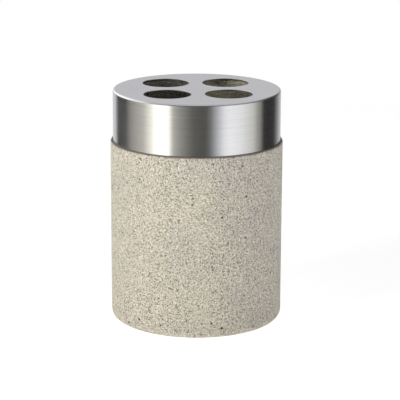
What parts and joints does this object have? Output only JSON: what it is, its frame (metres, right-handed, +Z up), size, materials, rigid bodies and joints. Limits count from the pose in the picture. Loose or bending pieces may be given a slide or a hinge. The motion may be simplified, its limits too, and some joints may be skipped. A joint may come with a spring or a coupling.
{
  "type": "toothbrush holder",
  "caption": "Round cast-stone cup for toothbrushes with a lift-off brushed steel cap pierced by brush holes, standing on soft bumper feet.",
  "frame": {"origin": "on the ground under the middle of the cup", "axes": "+Z up along the cup's axis, front towards -Y, brush holes in rows along X and Y"},
  "size_m": [0.0734, 0.0734, 0.1005],
  "materials": {
    "sandstone": "fine-grained, matt, beige with dark and pale specks",
    "brushed_steel": "satin, brushed round the skirt",
    "dark_rubber": "matt silicone"
  },
  "bodies": {
    "cup": {"stone_cup": "sandstone", "foot_front_left": "dark_rubber", "foot_front_right": "dark_rubber", "foot_rear_left": "dark_rubber", "foot_rear_right": "dark_rubber"},
    "gasket": {"cap_gasket": "dark_rubber"},
    "cap": {"steel_cap": "brushed_steel"}
  },
  "joints": [
    {"name": "cap_lift", "type": "slide", "parent": "cup", "child": "gasket", "axis": [0, 0, 1], "range_m": [0, 0.03]},
    {"name": "cap_turn", "type": "hinge", "parent": "gasket", "child": "cap", "pos_m": [0, 0, 0.07855], "axis": [0, 0, 1], "continuous": true}
  ]
}
